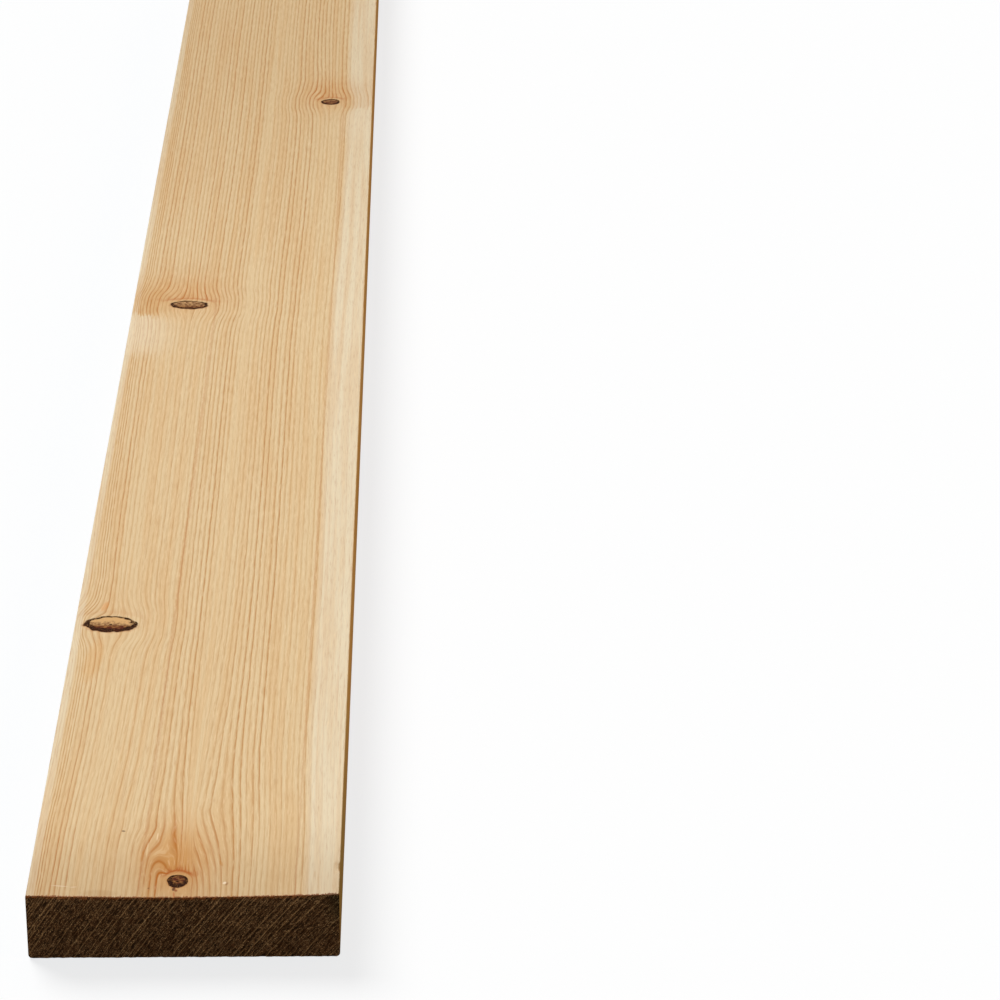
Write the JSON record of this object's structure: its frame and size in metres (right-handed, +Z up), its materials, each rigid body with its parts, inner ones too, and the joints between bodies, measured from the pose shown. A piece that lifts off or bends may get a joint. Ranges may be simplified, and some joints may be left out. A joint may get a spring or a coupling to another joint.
{
  "type": "timber lumber plank",
  "caption": "Planed softwood plank with a rectangular section, eased long edges, a slightly cupped top face and square sawn ends.",
  "frame": {"origin": "middle of the flat underside, which is the middle of the bottom of the bounding box", "axes": "+Y along the grain and the length, away from the sawn end that the picture shows; +X across the width, to the right as the picture shows it; +Z up, out of the hollow top face"},
  "size_m": [0.195, 2.4, 0.045],
  "materials": {
    "planed_pine": "bare planed softwood, matt, with sawn end grain"
  },
  "bodies": {
    "root": {"plank": "planed_pine"}
  },
  "joints": []
}
